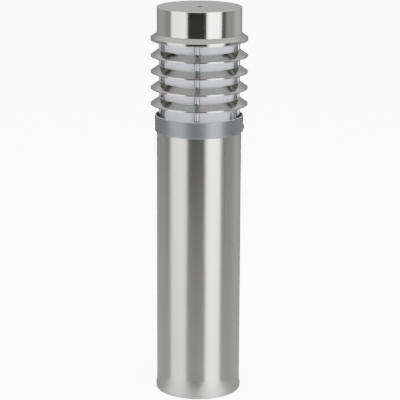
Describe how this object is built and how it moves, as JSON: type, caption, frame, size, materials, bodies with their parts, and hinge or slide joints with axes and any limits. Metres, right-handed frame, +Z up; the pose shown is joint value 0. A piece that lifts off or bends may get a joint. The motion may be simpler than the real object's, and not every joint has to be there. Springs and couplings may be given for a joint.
{
  "type": "bollard light",
  "caption": "Round stainless bollard light: brushed tube post, silver collar, louvred opal lantern with conical rings, and a flat lift-off cap held by a centre screw.",
  "frame": {"origin": "centre of the footprint, on the ground", "axes": "+Z up along the post; -Y is the front; +X is the side with the visible lock screw"},
  "size_m": [0.1236, 0.1236, 0.5],
  "materials": {
    "brushed_stainless": "lengthwise brushed",
    "cap_stainless": "polished sides, satin top",
    "polished_stainless": "spun and polished",
    "silver_paint": "satin silver-grey paint",
    "bright_sleeve": "polished",
    "opal_diffuser": "frosted opal, finely ribbed",
    "lamp_opal": "opal",
    "lamp_white": "matt white",
    "led_yellow": "phosphor",
    "circuit_board": "lacquered board",
    "nickel_brass": "nickel plated",
    "brass": "plain",
    "zinc_steel": "zinc plated",
    "dark_steel": "blackened",
    "cast_aluminium": "as cast",
    "white_ceramic": "glazed steatite",
    "white_nylon": "moulded",
    "black_nylon": "moulded",
    "black_rubber": "matt",
    "brown_insulation": "smooth",
    "blue_insulation": "smooth",
    "earth_insulation": "smooth, green and yellow",
    "green_screw": "green passivated"
  },
  "bodies": {
    "post": {"base_gasket": "black_rubber", "base_plate": "cast_aluminium", "cable_gland_body": "black_nylon", "cable_gland_seal": "black_rubber", "cable_gland_nut": "black_nylon", "post_tube": "brushed_stainless", "tie_rods": "zinc_steel", "tie_rod_washers": "zinc_steel", "tie_rod_nuts": "zinc_steel", "top_bridge": "zinc_steel", "head_seal": "black_rubber", "lampholder_bracket": "zinc_steel", "bracket_screws": "zinc_steel", "lampholder_body": "white_ceramic", "lampholder_shell": "nickel_brass", "lampholder_screws": "zinc_steel", "terminal_block": "white_nylon", "terminal_screws": "brass", "terminal_fixings": "zinc_steel", "wire_live": "brown_insulation", "wire_neutral": "blue_insulation", "wire_earth": "earth_insulation", "earth_lug": "nickel_brass", "earth_screw": "green_screw"},
    "lamp_contact_plunger": {"centre_contact": "brass"},
    "lamp": {"lamp_dome": "lamp_opal", "lamp_housing": "lamp_white", "lamp_board": "lamp_white", "lamp_leds": "led_yellow", "lamp_driver": "circuit_board", "lamp_screw_cap": "nickel_brass", "lamp_insulator": "black_nylon", "lamp_contact": "nickel_brass"},
    "head": {"collar": "silver_paint", "lower_diffuser_gasket": "black_rubber", "diffuser": "opal_diffuser", "upper_diffuser_gasket": "black_rubber", "louvre_ring_1": "polished_stainless", "louvre_ring_2": "polished_stainless", "louvre_ring_3": "polished_stainless", "louvre_ring_4": "polished_stainless", "louvre_ring_5": "polished_stainless", "lower_spacers": "bright_sleeve", "ring_spacers": "bright_sleeve", "cage_studs": "zinc_steel", "top_plate": "polished_stainless", "stud_washers": "zinc_steel", "stud_nuts": "zinc_steel", "diffuser_clips": "bright_sleeve", "clip_screws": "zinc_steel", "cap_pillar": "zinc_steel", "pillar_screw": "zinc_steel"},
    "cap": {"cap_shell": "cap_stainless"},
    "cap_fastener": {"cap_screw": "dark_steel", "cap_screw_washer": "black_rubber"},
    "lock_right": {"lock_screw_right": "bright_sleeve"},
    "lock_rear": {"lock_screw_rear": "bright_sleeve"}
  },
  "joints": [
    {"name": "head_lift", "type": "slide", "parent": "post", "child": "head", "axis": [0, 0, 1], "range_m": [0, 0.16]},
    {"name": "cap_lift", "type": "slide", "parent": "head", "child": "cap", "axis": [0, 0, 1], "range_m": [0, 0.05]},
    {"name": "cap_screw_out", "type": "slide", "parent": "cap", "child": "cap_fastener", "axis": [0, 0, 1], "range_m": [0, 0.014]},
    {"name": "lock_right_out", "type": "slide", "parent": "head", "child": "lock_right", "axis": [1, 0, 0], "range_m": [0, 0.003]},
    {"name": "lock_rear_out", "type": "slide", "parent": "head", "child": "lock_rear", "axis": [-0.866, 0.5, 0], "range_m": [0, 0.003]},
    {"name": "contact_rise", "type": "slide", "parent": "post", "child": "lamp_contact_plunger", "axis": [0, 0, 1], "range_m": [0, 0.0037]},
    {"name": "lamp_turn", "type": "hinge", "parent": "lamp_contact_plunger", "child": "lamp", "pos_m": [0, 0, 0.34], "axis": [0, 0, 1], "range_deg": [0, 360]}
  ],
  "couplings": [
    {"joint": "contact_rise", "follows": "lamp_turn", "m_per_rad": 0.00057773}
  ]
}
